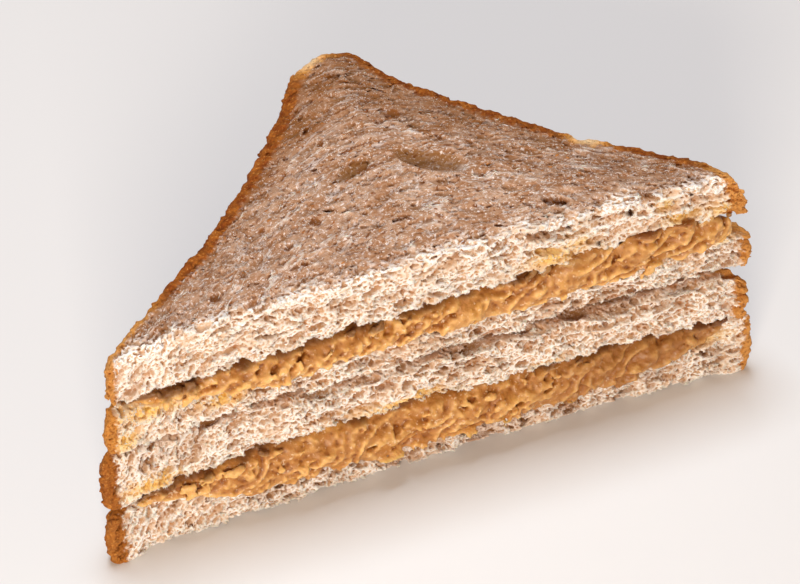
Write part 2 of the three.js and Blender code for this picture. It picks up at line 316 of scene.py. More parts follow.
def rounded_corner(a, b, radius):
    """Distance outside the corner of two sides, rounded to a radius."""
    a, b = a + radius, b + radius
    outside = np.hypot(np.maximum(a, 0.0), np.maximum(b, 0.0))
    return outside + np.minimum(np.maximum(a, b), 0.0) - radius


def outside_crust(x, y, end_radius, notch=0.0):
    """Distance outside the crusts of a slice, negative inside."""
    p, q = crust_axes(x, y)
    left = hollow(p, LEFT_CRUST) - q
    right = p - LOAF_SIDE + hollow(LOAF_SIDE - q, RIGHT_CRUST)
    if notch:
        away = ((LOAF_SIDE - q) - NOTCH["at"]) / NOTCH["width"]
        right = right + notch * np.exp(-away ** 2)
    ends = np.maximum(rounded_corner(left, -p, LEFT_END_RADIUS),
                      rounded_corner(right, q - LOAF_SIDE, end_radius))
    return np.maximum(rounded_corner(left, right, CORNER_RADIUS), ends)


def height(level, x, y):
    """Height of the boundary between two layers."""
    if level is TABLE:
        return np.zeros_like(x + y)
    left, right, corner, *middle = level
    p, q = crust_axes(x, y)
    back = np.clip(y / HALF_CUT, 0.0, 1.0)
    across = np.clip(x / HALF_CUT, -1.0, 1.0)
    rim = (corner * back + left * (1 - back) * (1 - across) / 2
           + right * (1 - back) * (1 + across) / 2)
    inward = np.minimum(q - hollow(p, LEFT_CRUST),
                        LOAF_SIDE - p - hollow(LOAF_SIDE - q, RIGHT_CRUST))
    share = np.clip(inward / RIM_WIDTH, 0.0, 1.0)
    return mix(rim, mix(*middle, (across + 1) / 2), share * (2 - share))


def steps(low, high, pitch):
    """Evenly spaced places from low to just past high."""
    return np.arange(low, high + pitch, pitch, dtype="f4")


class Block:
    """A box of sample points, on three axes that may be spaced unevenly."""

    def __init__(self, *axes):
        self.axes = axes
        self.x, self.y, self.z = (axis.reshape(shape) for axis, shape in zip(
            axes, ((-1, 1, 1), (1, -1, 1), (1, 1, -1))))

    def noise(self, wavelength, seed):
        """Smooth noise from -1 to 1, of one wavelength or one for each axis."""
        waves = np.broadcast_to(wavelength, 3)
        rng = np.random.default_rng(seed)
        ways = [(axis - axis[0]) / wave for axis, wave in zip(self.axes, waves)]
        field = rng.uniform(-1, 1, [int(way[-1]) + 2 for way in ways]).astype("f4")
        for number, way in enumerate(ways):
            cell = way.astype(int)
            shape = [1, 1, 1]
            shape[number] = -1
            share = smooth(way - cell).reshape(shape).astype("f4")
            field = (np.take(field, cell, number) * (1 - share)
                     + np.take(field, cell + 1, number) * share)
        return field

    def roughened(self, field, waves, seed):
        """A field with waves of noise added."""
        for strength, wavelength, extra in waves:
            field = field + strength * self.noise(wavelength, seed + extra)
        return field

    def index(self, number, places):
        """The samples that lie at places along one axis."""
        axis = self.axes[number]
        return np.clip(np.searchsorted(axis, places), 0, len(axis) - 1)

    def span(self, middle, reach):
        """The part of the block within reach of a point, as slices, or None."""
        part = []
        for axis, place in zip(self.axes, middle):
            first, last = np.searchsorted(axis, (place - reach, place + reach))
            if first == last:
                return None
            part.append(slice(first, last))
        return tuple(part)

    def at(self, field, points):
        """Values of a field at points, blended from the eight samples around each."""
        total = 0.0
        for corner in np.ndindex(2, 2, 2):
            weight, place = 1.0, []
            for k, axis in enumerate(self.axes):
                spot = np.interp(points[:, k], axis, np.arange(len(axis)))
                first = np.minimum(spot.astype(int), len(axis) - 2)
                weight = weight * np.abs(1 - corner[k] - (spot - first))
                place.append(first + corner[k])
            total = total + weight * field[tuple(place)]
        return total

    def places(self, spots):
        """Points in millimetres from places counted in samples."""
        return np.column_stack([np.interp(spots[:, k], np.arange(len(axis)), axis)
                                for k, axis in enumerate(self.axes)])


def press(block, field, spots, grow=False):
    """Takes ellipsoids out of a field, or adds them to it.

    Each spot is a centre, three half sizes, and its turns about Z and then about its own Y.
    """
    for row in spots:
        middle, half = row[:3], row[3:6]
        part = block.span(middle, half.max() * 1.15)
        if part is None:
            continue
        dx = block.x[part[0]] - middle[0]
        dy = block.y[:, part[1]] - middle[1]
        dz = block.z[:, :, part[2]] - middle[2]
        u, v = turned(dx, dy, row[6])
        u, w = turned(u, dz, row[7])
        away = np.sqrt((u / half[0]) ** 2 + (v / half[1]) ** 2 + (w / half[2]) ** 2)
        depth = (1 - away) * half.min()
        if grow:
            np.minimum(field[part], -depth, out=field[part])
        else:
            np.maximum(field[part], depth, out=field[part])


def drift(u, v, seed):
    """Smooth noise from -1 to 1 at places on a plane, one wave to a unit, repeated far away."""
    repeat = 97
    values = np.random.default_rng(seed).uniform(-1, 1, (repeat, repeat))
    i, j = np.floor(u).astype(int), np.floor(v).astype(int)
    a, b = smooth(u - i), smooth(v - j)
    low, high = (mix(values[i % repeat, row], values[(i + 1) % repeat, row], a)
                 for row in (j % repeat, (j + 1) % repeat))
    return mix(low, high, b)


def blurred(field, half):
    """A field averaged over a small box round each sample."""
    for axis in range(3):
        count = field.shape[axis]
        total = np.cumsum(field, axis=axis, dtype="f4")
        high = np.minimum(np.arange(count) + half, count - 1)
        low = np.maximum(np.arange(count) - half - 1, 0)
        field = (np.take(total, high, axis) - np.take(total, low, axis)) / (2 * half + 1)
    return field


def largest_island(count, triangles):
    """Which points belong to the largest connected piece."""
    label = np.arange(count)
    edges = np.concatenate((triangles[:, :2], triangles[:, 1:]))
    while True:
        low = np.minimum(label[edges[:, 0]], label[edges[:, 1]])
        after = label.copy()
        for end in (0, 1):
            np.minimum.at(after, edges[:, end], low)
        after = after[after]
        after = after[after]
        if (after == label).all():
            return label == np.bincount(label).argmax()
        label = after


def skin(block, field):
    """The closed surface where a field is zero, as points and triangles that face outwards."""
    grid = openvdb.FloatGrid(1.0)
    grid.copyFromArray(np.ascontiguousarray(field, dtype="f4"))
    points, quads = grid.convertToQuads(0.0)
    triangles = np.concatenate((quads[:, [0, 1, 2]], quads[:, [0, 2, 3]])).astype(int)
    keep = largest_island(len(points), triangles)
    number = np.cumsum(keep) - 1
    triangles = number[triangles[keep[triangles[:, 0]]]]
    points = block.places(points[keep])
    a, b, c = (points[triangles[:, k]] for k in range(3))
    if np.einsum("ij,ij->i", a, np.cross(b, c)).sum() < 0:
        triangles = triangles[:, ::-1]
    return points, triangles


def linked_object(name, mesh):
    """A mesh as an object of the scene."""
    piece = bpy.data.objects.new(name, mesh)
    bpy.context.collection.objects.link(piece)
    return piece


def shade_smooth(mesh):
    mesh.polygons.foreach_set("use_smooth", np.ones(len(mesh.polygons), bool))


def take_modifiers(piece):
    """Puts what a piece's modifiers make in the place of its mesh."""
    graph = bpy.context.evaluated_depsgraph_get()
    mesh = bpy.data.meshes.new_from_object(piece.evaluated_get(graph))
    piece.modifiers.clear()
    piece.data = mesh
    mesh.name = piece.name


def new_piece(name, block, field, material, most):
    """The skin of a field as a smooth mesh object, thinned out to no more than most triangles."""
    points, triangles = skin(block, field)
    mesh = bpy.data.meshes.new(name)
    mesh.vertices.add(len(points))
    mesh.vertices.foreach_set("co", ((points + CUT_MIDDLE) * MILLIMETRE).ravel())
    mesh.loops.add(triangles.size)
    mesh.loops.foreach_set("vertex_index", triangles.ravel())
    mesh.polygons.add(len(triangles))
    mesh.polygons.foreach_set("loop_start", np.arange(0, triangles.size, 3))
    mesh.update(calc_edges=True)
    mesh.validate()
    shade_smooth(mesh)
    mesh.materials.append(material)
    piece = linked_object(name, mesh)
    if len(mesh.polygons) > most:
        piece.modifiers.new("thin", "DECIMATE").ratio = most / len(mesh.polygons)
        take_modifiers(piece)
    return piece


def points_of(piece):
    """A mesh's points in millimetres from the middle of the cut."""
    flat = np.empty(len(piece.data.vertices) * 3, "f4")
    piece.data.vertices.foreach_get("co", flat)
    return flat.reshape(-1, 3) / MILLIMETRE - CUT_MIDDLE


def store(piece, name, values):
    """Keeps one number for each point of a mesh, for its material to read."""
    layer = piece.data.attributes.new(name, "FLOAT", "POINT")
    layer.data.foreach_set("value", np.asarray(values, "f4"))


def read(piece, name):
    """The numbers kept for the points of a mesh."""
    values = np.empty(len(piece.data.vertices), "f4")
    piece.data.attributes[name].data.foreach_get("value", values)
    return values


def store_relief(piece, block, field, points):
    """Keeps how far each point stands out of its surroundings: crag of near ones, swell of wide."""
    near = blurred(np.clip(field, -0.7, 0.7), 1)
    store(piece, "crag", block.at(near, points) / 0.15)
    wide = blurred(blurred(near, 2), 3)
    store(piece, "swell", block.at(wide, points) / 0.4)


def add_node(tree, kind, inputs=None, **settings):
    """A new node, each input of which is set to a value or linked to another node's socket."""
    node = tree.nodes.new(kind)
    for name, value in settings.items():
        setattr(node, name, value)
    for socket, value in (inputs or {}).items():
        if isinstance(value, bpy.types.NodeSocket):
            tree.links.new(value, node.inputs[socket])
        else:
            node.inputs[socket].default_value = value
    return node


class Shader:
    """A material's node tree, with one Principled shader at its end."""

    def __init__(self, name, **values):
        self.material = bpy.data.materials.new(name)
        self.material.use_nodes = True
        self.tree = self.material.node_tree
        self.surface = self.tree.nodes["Principled BSDF"]
        for socket, value in values.items():
            self.surface.inputs[socket.replace("_", " ")].default_value = value
        self.place = self.add("ShaderNodeTexCoord", "Object")

    def add(self, kind, output, inputs=None, **settings):
        return add_node(self.tree, kind, inputs, **settings).outputs[output]

    def attribute(self, name):
        return self.add("ShaderNodeAttribute", "Fac", attribute_name=name)

    def noise(self, scale, detail=3.0, roughness=0.6, place=None):
        return self.add("ShaderNodeTexNoise", "Fac", {
            "Vector": place or self.place, "Scale": scale, "Detail": detail,
            "Roughness": roughness})

    def grain_noise(self, along, across, detail, roughness):
        """Noise that follows the bread's grain, in waves to a millimetre each way."""
        place = self.add("ShaderNodeCombineXYZ", 0, {
            "X": self.product(self.attribute("along"), along),
            "Y": self.product(self.attribute("across"), across)})
        return self.noise(1.0, detail, roughness, place)

    def ramp(self, value, low, high, top=1.0, bottom=0.0):
        """From bottom to top as a value goes from low to high."""
        return self.add("ShaderNodeMapRange", "Result", {
            "Value": value, "From Min": low, "From Max": high, "To Min": bottom, "To Max": top})

    def math(self, operation, a, b):
        return self.add("ShaderNodeMath", 0, {0: a, 1: b}, operation=operation)

    def line(self, value, half):
        """Thin lines, 1 where a pattern passes its middle value."""
        away = self.math("ABSOLUTE", self.math("SUBTRACT", value, 0.5), 0.0)
        return self.ramp(away, half, half * 0.2)

    def product(self, *shares):
        """Shares multiplied: each is a socket, a number, or what a ramp is made from."""
        shares = [self.ramp(*share) if isinstance(share, tuple) else share for share in shares]
        total = shares[0]
        for share in shares[1:]:
            total = self.math("MULTIPLY", total, share)
        return total

    def paint(self, colour, *coats):
        """Coats of colour laid over one another: each is a colour and the shares it covers."""
        for coat, *shares in coats:
            node = {0: self.product(*shares)}
            for number, value in ((6, colour), (7, coat)):
                plain = not isinstance(value, bpy.types.NodeSocket)
                node[number] = (*value, 1.0) if plain else value
            colour = self.add("ShaderNodeMix", 2, node, data_type="RGBA")
        return colour

    def relief(self, *layers):
        """Bumps laid over one another: each is a pattern, its height and its strength."""
        normal = {}
        for pattern, tall, strength in layers:
            normal["Normal"] = self.add("ShaderNodeBump", "Normal", {
                "Height": pattern, "Distance": tall * MILLIMETRE, "Strength": strength, **normal})
        return normal["Normal"]

    def finish(self, colour, normal, roughness=None):
        self.tree.links.new(colour, self.surface.inputs["Base Color"])
        self.tree.links.new(normal, self.surface.inputs["Normal"])
        if roughness is not None:
            self.tree.links.new(roughness, self.surface.inputs["Roughness"])
        return self.material


def bread_material(settings):
    """Crumb, pressed face, stains and crust, told apart by what is kept on the mesh."""
    s = Shader("bread", Subsurface_Weight=0.2, Subsurface_Scale=0.0005,
               Subsurface_Radius=(1.0, 0.8, 0.6), Specular_IOR_Level=0.1)
    depth, crust, face, crag, swell, toast, pit, baked = (s.attribute(name) for name in (
        "depth", "crust", "face", "crag", "swell", "toast", "pit", "baked"))
    streak = s.grain_noise(0.45, 2.2, 3.0, 0.6)
    walls = s.product(s.line(s.grain_noise(0.19, 0.36, 3.0, 0.65), 0.025),
                      (s.grain_noise(0.25, 0.4, 2.0, 0.5), 0.46, 0.6))
    threads = s.product(s.line(s.grain_noise(0.6, 1.0, 3.0, 0.65), 0.035),
                        (s.noise(160.0, 2.0), 0.46, 0.6))
    pores = s.ramp(s.grain_noise(0.42, 0.75, 2.0, 0.5), 0.38, 0.33)
    fine = s.noise(1500.0, 3.0, 0.7)
    frost = s.product((s.noise(210.0, 3.0, 0.6), 0.39, 0.5), (swell, -0.3, 0.1))
    clean = s.product((toast, 0.2, 1.0, 0.35, 1.0),
                      (s.math("MAXIMUM", s.product(depth, 0.6), pit), 0.3, 0.9, 0.35, 1.0))
    crumb = s.paint(
        tuple(settings.crumb_colour),
        ((0.68, 0.44, 0.255), (s.noise(90.0, 2.0), 0.42, 0.7)),
        # painted shade in hollows, in deep cells and in crevices, and patches of darker grain
        ((0.46, 0.24, 0.11), (swell, 0.0, -0.6, 0.65)),
        ((0.42, 0.19, 0.075), (depth, 0.5, 1.8, 0.55)),
        ((0.58, 0.33, 0.16), frost, (fine, 0.46, 0.38, 0.6)),
        ((0.36, 0.135, 0.032), (crag, -0.3, -1.1, 0.7)),
        # painted highlights on torn edges that stand out, and white specks that are partly the
        # crumb's own white and partly painted sparkle
        ((0.98, 0.95, 0.91), (frost, 0.0, 1.0, 1.0, 0.5), (crag, -0.05, 0.35, 0.97)),
        ((0.98, 0.98, 0.97), (frost, 0.0, 1.0, 1.0, 0.15), (fine, 0.5, 0.57)),
        # painted shade in the gaps between the layers, and moist crumb where the filling touches it
        ((0.4, 0.16, 0.045), s.attribute("damp"), (s.noise(500.0, 3.0), 0.4, 0.6, 0.5, 0.9)))
    pressed = s.paint(
        tuple(settings.face_colour),
        # browned places, pale clouds, and darker and lighter grain
        ((0.25, 0.095, 0.024), (toast, 0.0, 0.9)),
        ((0.55, 0.345, 0.225), clean, (s.noise(110.0, 4.0, 0.65), 0.44, 0.6, 0.85)),
        ((0.25, 0.105, 0.032), (s.noise(520.0, 2.0), 0.47, 0.35, 0.4)),
        ((0.52, 0.33, 0.23), clean, (streak, 0.5, 0.66, 0.65)),
        ((0.24, 0.095, 0.026), (fine, 0.46, 0.36, 0.4)),
        # painted shade in holes, pores and hollows
        ((0.24, 0.105, 0.028), (depth, 0.25, 1.2, 0.8)),
        ((0.16, 0.045, 0.007), pores, 0.8),
        ((0.22, 0.07, 0.012), pit, (s.noise(700.0, 2.0), 0.4, 0.6, 0.6, 0.95)),
        ((0.18, 0.05, 0.007), (crag, -0.1, -0.9, 0.7)),
        # painted highlights on whatever stands up, from broad to fine
        ((0.7, 0.53, 0.43), clean, (crag, 0.2, 0.9, 0.7)),
        ((0.78, 0.65, 0.57), clean, (s.attribute("ridge"), 0.3, 0.9, 0.6)),
        ((0.74, 0.6, 0.52), threads, clean, 0.4),
        ((0.86, 0.79, 0.76), walls, clean, 0.6),
        ((0.6, 0.44, 0.35), clean, (fine, 0.54, 0.61, 0.6)),
        ((0.93, 0.88, 0.86), clean, (fine, 0.585, 0.65, 0.75)))
    golden = s.paint((0.84, 0.6, 0.34), ((0.72, 0.34, 0.08), (baked, 0.1, 0.6)))
    browned = s.paint(
        tuple(settings.crust_colour),
        ((0.46, 0.155, 0.022), (s.noise(380.0, 5.0, 0.7), 0.4, 0.66, 0.85)),
        ((0.12, 0.03, 0.006), (s.noise(620.0, 3.0), 0.52, 0.72, 0.7)))
    rind = s.paint(
        golden,
        (browned, (baked, 0.4, 1.0)),
        ((0.2, 0.06, 0.015), (fine, 0.47, 0.36, 0.65)),
        ((0.76, 0.37, 0.1), (fine, 0.57, 0.67, 0.5)),
        # painted shade in the crust's crevices
        ((0.2, 0.06, 0.015), (crag, -0.2, -1.0, 0.6)))
    yellow = s.paint((0.8, 0.42, 0.05), ((0.9, 0.66, 0.22), (fine, 0.35, 0.65)))
    colour = s.paint(
        crumb,
        (pressed, face),
        (yellow, s.attribute("stain"), (fine, 0.3, 0.6, 1.0, 0.5)),
        ((0.05, 0.02, 0.01), s.attribute("speck")),
        (rind, crust))
    relief = s.relief(
        (fine, 0.24, s.ramp(s.math("MAXIMUM", frost, s.product(face, 0.4)), 0.0, 1.0, 1.0, 0.35)),
        (s.math("ADD", walls, s.product(threads, 0.5)), 0.16, s.product(face, 0.9)),
        (s.noise(800.0, 3.0), 0.5, crust),
        (s.noise(3400.0, 2.0), 0.05, 0.8))
    return s.finish(colour, relief, s.ramp(crust, 0.0, 1.0, 0.8, 0.65))


def loose_material(name, main, other, scale, tall, **values):
    """Two colours in spots, for the small things that are scattered."""
    s = Shader(name, **values)
    return s.finish(s.paint(main, (other, (s.noise(scale, 2.0), 0.35, 0.65))),
                    s.relief((s.noise(2500.0, 2.0), tall, 0.6)))


def tuna_material(settings):
    """Moist creamed tuna, with painted highlights on what stands out and painted shade in its
    crevices.
    """
    s = Shader("tuna", Subsurface_Weight=0.35, Subsurface_Scale=0.001,
               Subsurface_Radius=(1.0, 0.55, 0.25), Specular_IOR_Level=0.3,
               Coat_Weight=0.12, Coat_Roughness=0.25)
    crag, swell, fine = s.attribute("crag"), s.attribute("swell"), s.noise(1100.0, 3.0, 0.6)
    colour = s.paint(
        tuple(settings.colour),
        ((0.55, 0.27, 0.085), (s.noise(130.0, 3.0), 0.45, 0.7)),
        ((0.8, 0.44, 0.09), (s.noise(100.0, 3.0), 0.6, 0.72, 0.6)),
        # painted highlights on high places and edges, and painted shade in hollows and crevices
        ((0.85, 0.52, 0.18), (swell, 0.05, 0.6, 0.85)),
        ((0.3, 0.09, 0.01), (swell, 0.0, -0.7, 0.9)),
        ((0.2, 0.05, 0.005), (crag, -0.2, -0.9, 0.85)),
        ((0.88, 0.56, 0.22), (crag, 0.1, 1.1, 0.5)),
        ((0.46, 0.21, 0.06), (fine, 0.46, 0.34, 0.3)),
        # pale specks: painted glints of the moist paste
        ((0.95, 0.78, 0.54), (fine, 0.59, 0.68, 0.6)),
        # painted shade on the right half of the filling
        ((0.34, 0.14, 0.035), s.attribute("brown"), (s.noise(220.0, 3.0), 0.35, 0.6, 1.0, 0.4)),
        # painted shade in the groove under the slice above
        ((0.13, 0.04, 0.01), s.attribute("crease"), 0.85))
    relief = s.relief((fine, 0.22, 1.0), (s.noise(3200.0, 2.0), 0.04, 0.8))
    return s.finish(colour, relief, s.ramp(fine, 0.35, 0.65, 0.3, 0.5))


def table_material(settings):
    """Plain pale table."""
    s = Shader("table", Roughness=0.9, Specular_IOR_Level=0.1)
    colour = s.paint(tuple(settings.table_colour), ((0.75, 0.765, 0.785), s.noise(4.0, 1.0)))
    return s.finish(colour, s.relief((s.noise(900.0, 2.0), 0.02, 0.3)))


class Layer:
    """A slice or a filling as a field of samples round its solid, negative inside.

    The samples are spaced by the pitch times fine in front of a place called reach, where the cut
    is, and by the pitch times coarse behind it.
    """

    def __init__(self, plan, settings, margin, reach, fine, coarse, left_end=math.inf):
        self.plan = plan
        self.seed = plan["seed"] * 10  # each wave of noise adds a number of its own
        self.rng = np.random.default_rng(plan["seed"] + settings.seed)
        low, high = (np.array(corner) / MILLIMETRE - CUT_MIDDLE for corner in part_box(plan["node"]))
        pitch = settings.pitch / MILLIMETRE * 1.0
        front = steps(low[1] - margin, reach, pitch * fine)
        back = steps(front[-1] + pitch, high[1] + margin, pitch * coarse)
        self.block = Block(steps(min(low[0], left_end) - margin, high[0] + margin, pitch),
                           np.concatenate((front, back)),
                           steps(low[2] - margin, high[2] + margin, pitch * fine))

    def levels(self, x, y):
        """Heights of the layer's lower and upper side."""
        return height(self.plan["base"], x, y), height(self.plan["top"], x, y)


class Slice(Layer):
    """One half slice of bread."""

    def __init__(self, plan, settings):
        self.shown = plan["node"] == "bread_top"
        super().__init__(plan, settings, 2.0, 6.0, 0.85, 1.1 if self.shown else 2.0)
        self.hole_size = settings.hole_size / MILLIMETRE

    def local(self, x, y):
        """A point on the plan as seen from the slice's own cut."""
        shift, size = self.plan["shift"], self.plan["size"]
        u, v = turned(x - shift[0], y - shift[1], math.radians(self.plan["turn"]))
        return u / size, v / size

    def outside(self, x, y):
        """Distance outside the crust."""
        x, y = self.local(x, y)
        notch = NOTCH["depth"] if self.shown else 0.0
        return outside_crust(x, y, self.plan["end_radius"], notch) * self.plan["size"]

    def bulge(self, x, share):
        """How far the crust stands out between its edges."""
        return (CRUST_BULGE * np.sin(np.pi * share)
                + self.plan["flare"] * (1 - share) * smooth((x - 45.0) / 20.0))

    def cut(self, x, share):
        """How far behind the straight cut the torn face lies, along the cut's own axes."""
        across = np.clip(x / HALF_CUT, -1.0, 1.0)
        flat = self.plan["setback"] * (1 - across ** 2) + self.plan["lean"] * (share - 0.5)
        return flat * (1 - across ** 8) - BLUNT_END * blunt_ends(x)

    def body(self):
        """The slice before its cells are opened."""
        b, plan, seed = self.block, self.plan, self.seed
        base, top = self.levels(b.x, b.y)
        share = np.clip((b.z - base) / (top - base), 0.0, 1.0)
        side = self.outside(b.x, b.y) - self.bulge(b.x, share) - 0.2
        side = b.roughened(side, SIDE_WAVES, seed)
        near = 1.0 - smooth((b.y - 5.0) / 5.0) * smooth(-(self.outside(b.x, b.y) + 2.0) / 2.0)
        grain = b.roughened(0.0, FACE_WAVES, seed)
        fringe = grain + 0.2 * b.noise(1.7, seed + 10) * near
        ragged = (0.85 + 0.45 * drift(b.x / 7.0, b.x / 31.0, seed)
                  + 0.35 * drift(b.x / 1.9, b.y / 1.5, seed + 1))
        ragged = ragged * (1 - smooth((b.y - 0.5) / 3.0))
        if self.shown:
            over = b.z - top + grain - 0.3 * self.ridges(b.x, b.y)
        else:
            over = b.z - top + fringe * near + plan["drop"] * ragged
        if plan["base"] is TABLE:
            bare_ends = 1 - np.clip(b.x / 70.0, -1.0, 1.0) ** 4
            under = base - b.z + plan["lift"] * ragged * bare_ends
        else:
            under = base - b.z + fringe * near + plan["lift"] * ragged
        torn = b.roughened(0.0, CUT_WAVES, seed) * (1 - 0.6 * blunt_ends(b.x))
        front = self.cut(b.x, share) - self.local(b.x, b.y)[1] + torn
        field = rounded_corner(side, np.maximum(over, under), 0.7 if self.shown else 1.1)
        wedge = 0.2 + 0.4 * smooth((np.abs(b.x) - 60.0) / 6.0)
        return rounded_corner(field, front, wedge).astype("f4")

    def front_of(self, field, x, z):
        """Where the cut's surface lies now at places along and up the cut."""
        inside = field[self.block.index(0, x), :, self.block.index(2, z)] < 0
        return self.block.axes[1][np.argmax(inside, axis=1)]

    def top_of(self, field, x, y):
        """Where the upper surface lies now at places on the plan."""
        inside = field[self.block.index(0, x), self.block.index(1, y), ::-1] < 0
        return self.block.axes[2][::-1][np.argmax(inside, axis=1)]

    def cells_in_cut(self, field, count, wide, depth, stretch):
        """Cells opened by the cut, drawn out along the slice."""
        draw = self.rng.uniform
        x = draw(-HALF_CUT - 1, HALF_CUT - 1, count)
        flat = np.zeros(count)
        z = mix(*self.levels(x, flat), draw(0.0, 1.0, count))
        y = self.front_of(field, x, z)
        size = mix(*wide, draw(0, 1, count) ** 2)
        steep = 0.9 * smooth((-40.0 - x) / 25.0)
        rows = np.column_stack((x, y, z, size * draw(*stretch, count),
                                mix(*depth, draw(0, 1, count)), size, flat,
                                steep + draw(-0.25, 0.5, count)))
        return rows[y < 5.0]

    def cells_in_face(self, field, count, wide, depth, stretch, far):
        """Cells opened on the top face, drawn out along the grain of the crumb."""
        draw = self.rng.uniform
        x = draw(-HALF_CUT, HALF_CUT, count)
        y = draw(-1, far, count)
        size = mix(*wide, draw(0, 1, count) ** 2)
        z = self.top_of(field, x, y)
        turn = self.grain(x, y) + draw(-0.3, 0.3, count)
        rows = np.column_stack((x, y, z, size * draw(*stretch, count), size,
                                mix(*depth, draw(0, 1, count)), turn, np.zeros(count)))
        return rows[(z > 50.0) & (self.outside(x, y) < -0.8)]

    def pulls(self, x, y):
        """How strongly the left crust, the right crust and the loaf's middle turn the grain."""
        p, q = crust_axes(x, y)
        left, right = GRAIN_REACH
        return np.exp(-q / left), np.exp(-(LOAF_SIDE - p) / right), GRAIN_REST

    def grain(self, x, y):
        """Direction of the crumb's grain on the top face, in radians."""
        pulls = self.pulls(x, y)
        turns = sum(turn * pull for turn, pull in zip(GRAIN_TURNS, pulls))
        return np.radians(turns / sum(pulls))

    def grain_ways(self, x, y):
        """The ways along and across the grain, in millimetres."""
        pulls = self.pulls(x, y)
        total = sum(pulls)
        along = across = 0.0
        for pull, turn in zip(pulls, GRAIN_TURNS):
            u, v = turned(x, y, math.radians(turn))
            along, across = along + pull / total * u, across + pull / total * v
        return along, across

    def ridges(self, x, y):
        """How near a place on the top face is to a thin standing wall of crumb, from 0 to 1."""
        along, across = self.grain_ways(x, y)
        seed = self.plan["seed"]
        lines = (drift(along / 7.0, across / 1.9, seed)
                 + 0.4 * drift(along / 2.4, across / 0.9, seed + 1))
        strong = smooth(0.5 + drift(along / 4.0, across / 2.0, seed + 2))
        return np.exp(-(lines / 0.13) ** 2) * strong * smooth(np.asarray(y) / 3.0)

    def named_holes(self):
        """The large holes of the top face as spots to press, the widest of them soft."""
        rows = []
        for x, y, long, wide, turn, depth in NAMED_HOLES:
            rise, spread, deepen = (0.8 * depth, 1.15, 1.7) if long > WIDE_HOLE else (0.2, 1.0, 1.0)
            top = float(height(self.plan["top"], np.array(x), np.array(y)))
            rows.append((x, y, top + rise, long * spread, wide * spread, depth * deepen,
                         math.radians(turn), 0.0))
        return np.array(rows)

    def open_cells(self, field):
        """Opens the cells of the crumb, the largest first and smaller ones in their walls."""
        if self.plan["node"] == "bread_upper_middle":
            press(self.block, field, np.array([FLAP]), grow=True)
        if self.shown:
            press(self.block, field, self.named_holes())
            for row in FACE_CELLS:
                press(self.block, field, self.cells_in_face(field, *row))
        count, smallest, *shape = LARGE_CUT_CELLS
        for row in ((count, (smallest, self.hole_size), *shape), *SMALL_CUT_CELLS):
            press(self.block, field, self.cells_in_cut(field, *row))

    def stain(self, points):
        """How strongly the filling has stained the bread at each point, from 0 to 1."""
        value = np.zeros(len(points))
        for x, z, long, tall in STAINS.get(self.plan["node"], ()):
            away = ((points[:, 0] - x) / long) ** 2 + ((points[:, 2] - z) / tall) ** 2
            value = np.maximum(value, np.exp(-away) * (points[:, 1] < 6.0))
        return value

    def speck(self, points):
        """Where dark specks of bran lie on the cut, 1 within each."""
        value = np.zeros(len(points))
        for x, z, reach in SPECKS.get(self.plan["node"], ()):
            away = np.hypot(points[:, 0] - x, points[:, 2] - z) / reach
            value = np.maximum(value, (1 - smooth((away - 0.8) / 0.4)) * (points[:, 1] < 4.0))
        return value

    def pit(self, points):
        """Where the small holes of the top face lie, 1 within each, for the painted shade in them.
        """
        value = np.zeros(len(points))
        for x, y, long, wide, turn, depth in NAMED_HOLES:
            if long <= WIDE_HOLE and depth >= DARK_HOLE:
                u, v = turned(points[:, 0] - x, points[:, 1] - y, math.radians(turn))
                away = np.hypot(u / long, v / wide)
                value = np.maximum(value, 1 - smooth((away - 0.75) / 0.35))
        return value * (points[:, 2] > 55.0)

    def crust(self, points):
        """How far each point belongs to the crust, from 0 to 1."""
        x, y, z = points.T
        waves = np.random.default_rng(self.plan["seed"]).uniform(0, 2 * np.pi, (3, 3))
        ripple = sum(np.sin(x * f + a) * np.sin(y * f + b) * np.sin(z * f + c)
                     for f, (a, b, c) in zip((0.9, 1.9, 3.7), waves))
        inside = -self.outside(x, y) * mix(1.0, 2.6, self.plan["pale"] * left_heel(x))
        rim = smooth((z - height(self.plan["top"], x, y) + 1.6) / 1.2) * (y > 1.0)
        heel = smooth((-58.0 - x) / 4.0) * (1 - smooth((y - 2.0) / 3.0))
        left = 1.4 - 0.9 * smooth((-40.0 - x) / 18.0)
        wide = 1.0 + np.maximum(rim * np.where(x < 0, left, 1.0), heel * (self.plan["heel"] - 1.0))
        return 1.0 - smooth((inside - wide + 0.7 * ripple) / (0.7 + 0.4 * rim))

    def baked(self, points):
        """How brown the crust is, from 0 to 1: it is pale at the corner and in the notch."""
        pale = np.zeros(len(points))
        for *place, reach in PALE_PLACES:
            away = np.linalg.norm(points - place, axis=1) / reach
            pale = np.maximum(pale, np.exp(-away ** 2))
        golden = smooth((points[:, 0] - 60.0) / 6.0) * (1 - smooth((points[:, 1] - 6.0) / 8.0))
        heel = self.plan["pale"] * left_heel(points[:, 0])
        return (1.0 - pale) * (1.0 - 0.45 * golden) * (1.0 - heel)

    def toast(self, points):
        """How brown the face is, from 0 to 1: most near the crust and towards the corner."""
        x, y = points[:, 0], points[:, 1]
        by_crust = 1 - smooth(-self.outside(x, y) / (14.0 + 20.0 * smooth(x / 20.0)))
        return np.clip(0.7 * by_crust + 0.8 * smooth((y - 22.0) / 45.0), 0.0, 1.0)

